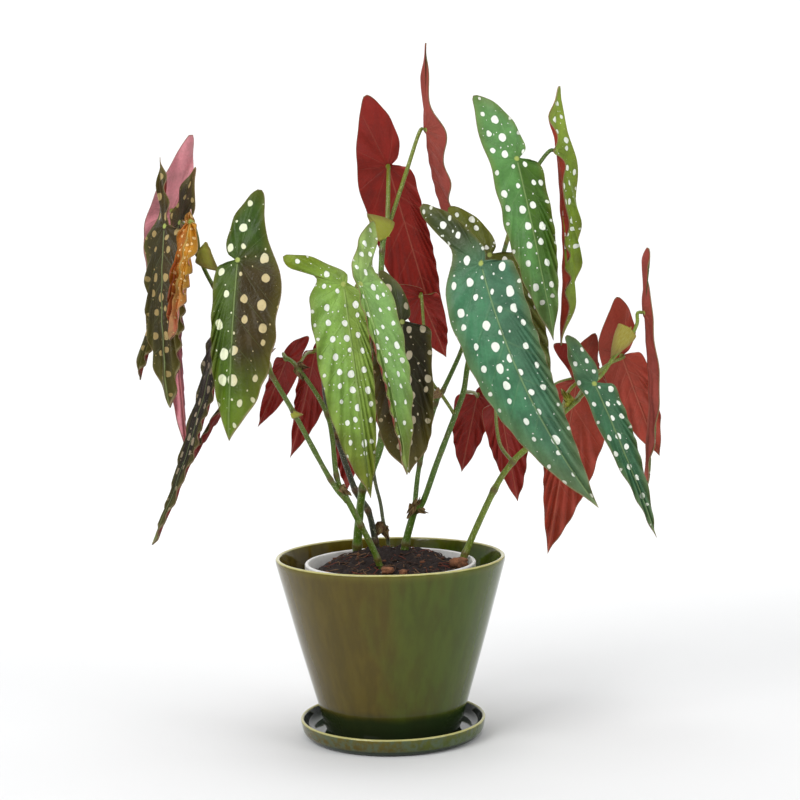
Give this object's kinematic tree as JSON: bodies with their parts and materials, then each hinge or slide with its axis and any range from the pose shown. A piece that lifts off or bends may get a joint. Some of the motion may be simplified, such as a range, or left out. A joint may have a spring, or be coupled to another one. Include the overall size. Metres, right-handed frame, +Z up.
{
  "type": "potted polka dot begonia",
  "caption": "Cane begonia with spotted wing-shaped leaves, red underneath, in a nursery pot inside a glazed tapered planter on a matching saucer.",
  "frame": {"origin": "centre of the saucer's flat underside", "axes": "+Z up, the front of the plant faces -Y, +X to the right seen from the front"},
  "size_m": [0.3715, 0.2427, 0.4867],
  "materials": {
    "glaze": "glossy olive glaze",
    "white_plastic": "plain white moulded plastic",
    "potting_mix": "damp crumbly potting mix",
    "cane": "smooth green cane with brown nodes",
    "leaf": "satin leaf, white spots on green above, red below",
    "stipule": "papery olive sheath",
    "bark": "rough orange-brown bark"
  },
  "bodies": {
    "root": {"saucer": "glaze", "planter": "glaze", "nursery_pot": "white_plastic", "potting_soil": "potting_mix", "cane_left": "cane", "cane_tall": "cane", "cane_back": "cane", "cane_thin": "cane", "cane_fork": "cane", "cane_right": "cane", "leaf_left_1": "leaf", "leaf_left_2": "leaf", "leaf_left_3": "leaf", "leaf_left_4": "leaf", "leaf_left_5": "leaf", "leaf_left_6": "leaf", "leaf_left_7": "leaf", "leaf_left_8": "leaf", "leaf_left_9": "leaf", "leaf_mid_1": "leaf", "leaf_mid_2": "leaf", "leaf_mid_3": "leaf", "leaf_mid_4": "leaf", "leaf_mid_5": "leaf", "leaf_top_1": "leaf", "leaf_top_2": "leaf", "leaf_top_3": "leaf", "leaf_right_1": "leaf", "leaf_right_2": "leaf", "leaf_right_3": "leaf", "leaf_right_4": "leaf", "leaf_right_5": "leaf", "leaf_right_6": "leaf", "leaf_right_7": "leaf", "leaf_right_8": "leaf", "leaf_right_9": "leaf", "leaf_right_10": "leaf", "leaf_right_11": "leaf", "stipule_left": "stipule", "stipule_left_low": "stipule", "stipule_tall": "stipule", "stipule_fork": "stipule", "stipule_right": "stipule", "bark_chip_right": "bark", "bark_chip_front": "bark", "bark_chip_small": "bark"}
  },
  "joints": []
}
